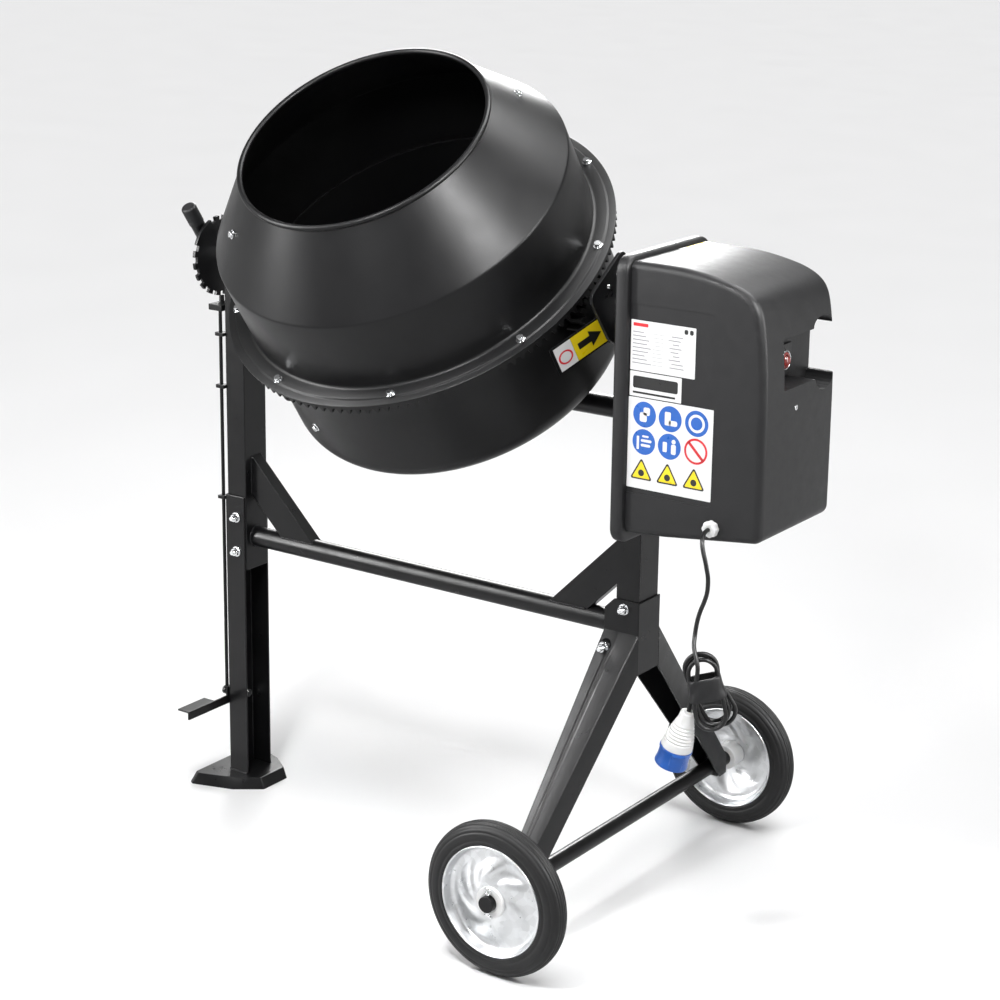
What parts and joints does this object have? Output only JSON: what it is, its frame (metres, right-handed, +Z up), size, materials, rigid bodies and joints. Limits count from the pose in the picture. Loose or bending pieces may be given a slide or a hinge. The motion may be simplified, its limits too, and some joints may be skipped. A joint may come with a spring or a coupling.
{
  "type": "concrete mixer",
  "caption": "Electric concrete mixer: tilting double-cone drum in a yoke on two posts, belt-driven ring gear, tilt handle with pedal lock, foot and wheeled stand.",
  "frame": {"origin": "on the ground, under the middle of the machine's outline", "axes": "+X from the foot post to the drive housing, along the trunnion axis; +Y away from the discharge side; +Z up"},
  "size_m": [1.128, 0.744, 1.3046],
  "materials": {
    "frame_paint": "satin black powder coat",
    "drum_paint": "satin black paint",
    "gear_iron": "black painted casting",
    "zinc": "bright zinc plate",
    "bright_steel": "turned steel",
    "aluminium": "die cast",
    "galvanised": "galvanised pressed sheet",
    "tyre": "black rubber",
    "white_plastic": "white plastic",
    "housing_plastic": "fine-grained black plastic",
    "motor_paint": "grey paint",
    "soft_black": "soft black rubber",
    "switch_plastic": "gloss black plastic",
    "red_plastic": "red plastic",
    "blue_plastic": "blue plastic"
  },
  "bodies": {
    "frame": {"foot_plate": "frame_paint", "support_leg": "frame_paint", "left_upright": "frame_paint", "right_upright": "frame_paint", "cross_tube": "frame_paint", "gussets": "frame_paint", "stand_collar": "frame_paint", "stand_legs": "frame_paint", "axle": "frame_paint", "split_pins": "zinc", "frame_bolts": "zinc", "left_bush": "bright_steel", "trunnion_sleeve": "bright_steel", "sleeve_bearings": "bright_steel", "housing_back": "housing_plastic", "housing_cover": "housing_plastic", "housing_screws": "zinc", "motor": "motor_paint", "motor_bracket": "frame_paint", "drive_belt": "soft_black", "cable_gland": "white_plastic", "switch_body": "switch_plastic", "rod_guides": "frame_paint", "pedal_pivot": "zinc", "cord_lead": "soft_black", "cord_hank": "soft_black", "cord_tail": "soft_black", "hank_band": "soft_black", "plug_body": "white_plastic", "plug_collar": "blue_plastic", "plug_pins": "bright_steel"},
    "yoke": {"yoke_frame": "frame_paint", "yoke_plates": "frame_paint", "trunnion_pin": "bright_steel", "tilt_disc": "frame_paint", "tilt_handle": "frame_paint", "handle_caps": "soft_black", "pinion_guard": "frame_paint", "yoke_bolts": "zinc", "drum_shaft": "bright_steel"},
    "drum": {"bottom_shell": "drum_paint", "upper_shell": "drum_paint", "ring_gear": "gear_iron", "flange_bolts": "zinc", "paddles": "drum_paint", "paddle_bolts": "zinc", "drum_hub": "drum_paint"},
    "pinion": {"pinion": "bright_steel", "belt_pulley": "aluminium"},
    "motor_pulley": {"motor_pulley": "aluminium"},
    "near_wheel": {"near_tyre": "tyre", "near_rim": "galvanised", "near_hub": "white_plastic"},
    "far_wheel": {"far_tyre": "tyre", "far_rim": "galvanised", "far_hub": "white_plastic"},
    "pedal": {"foot_pedal": "frame_paint"},
    "lock": {"lock_rod": "zinc"},
    "flap": {"switch_flap": "red_plastic"},
    "reset": {"reset_button": "red_plastic"}
  },
  "joints": [
    {"name": "yoke_tilt", "type": "hinge", "parent": "frame", "child": "yoke", "pos_m": [-0.092, 0, 0.931], "axis": [1, 0, 0], "range_deg": [-36, 90]},
    {"name": "drum_spin", "type": "hinge", "parent": "yoke", "child": "drum", "pos_m": [-0.092, 0, 0.931], "axis": [0, -0.5736, 0.8192], "continuous": true},
    {"name": "pinion_spin", "type": "hinge", "parent": "yoke", "child": "pinion", "pos_m": [0.374, 0, 0.931], "axis": [1, 0, 0], "continuous": true},
    {"name": "motor_pulley_spin", "type": "hinge", "parent": "frame", "child": "motor_pulley", "pos_m": [0.374, 0, 0.741], "axis": [1, 0, 0], "continuous": true},
    {"name": "near_wheel_roll", "type": "hinge", "parent": "frame", "child": "near_wheel", "pos_m": [0.283, -0.343, 0.12], "axis": [0, 1, 0], "continuous": true},
    {"name": "far_wheel_roll", "type": "hinge", "parent": "frame", "child": "far_wheel", "pos_m": [0.283, 0.343, 0.12], "axis": [0, 1, 0], "continuous": true},
    {"name": "pedal_press", "type": "hinge", "parent": "frame", "child": "pedal", "pos_m": [-0.5095, 0.014, 0.15], "axis": [1, 0, 0], "range_deg": [-10, 14], "stiffness_Nm_per_rad": 20},
    {"name": "lock_slide", "type": "slide", "parent": "frame", "child": "lock", "axis": [0, 0, 1], "range_m": [-0.0102, 0.0074]},
    {"name": "flap_lift", "type": "hinge", "parent": "frame", "child": "flap", "pos_m": [0.528, -0.014, 0.914], "axis": [0, -1, 0], "range_deg": [0, 80]},
    {"name": "reset_press", "type": "slide", "parent": "frame", "child": "reset", "axis": [-1, 0, 0], "range_m": [0, 0.003], "stiffness_N_per_m": 400}
  ],
  "couplings": [
    {"joint": "pinion_spin", "follows": "drum_spin", "ratio": -6},
    {"joint": "motor_pulley_spin", "follows": "drum_spin", "ratio": -36.7},
    {"joint": "lock_slide", "follows": "pedal_press", "m_per_rad": -0.041}
  ]
}
